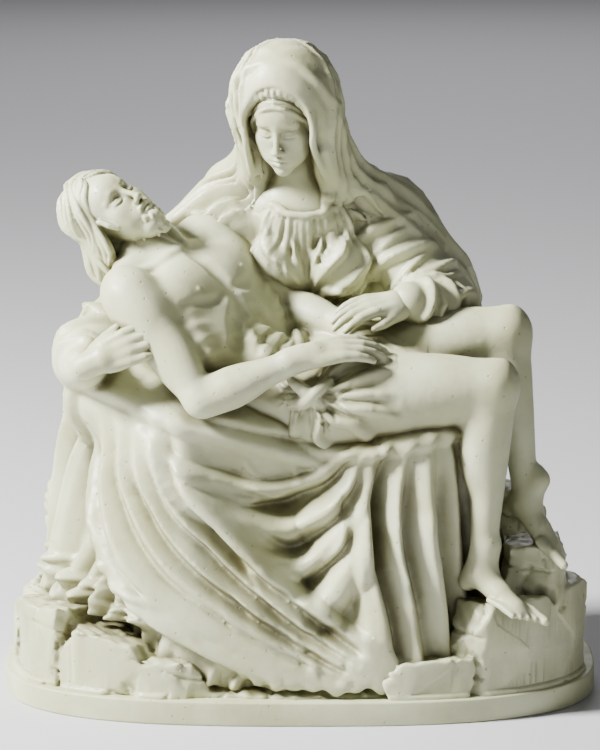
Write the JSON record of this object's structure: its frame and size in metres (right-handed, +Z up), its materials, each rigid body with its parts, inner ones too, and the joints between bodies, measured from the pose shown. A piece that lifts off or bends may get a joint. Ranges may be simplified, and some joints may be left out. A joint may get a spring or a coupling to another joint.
{
  "type": "pieta statue",
  "caption": "Cast group of a hooded seated woman who holds a dead man across her knees, with deep drapery, split rocks and a thin rounded plinth; it stands on its flat underside.",
  "frame": {"origin": "middle of the underside, on the surface that the statue stands on", "axes": "+Z up, the front of the group faces -Y, +X to the viewer's right"},
  "size_m": [0.346, 0.212, 0.38],
  "materials": {
    "cast_stone": "ivory cast stone with a dull polish, yellowed in the hollows"
  },
  "bodies": {
    "root": {"pieta_statue": "cast_stone"}
  },
  "joints": []
}
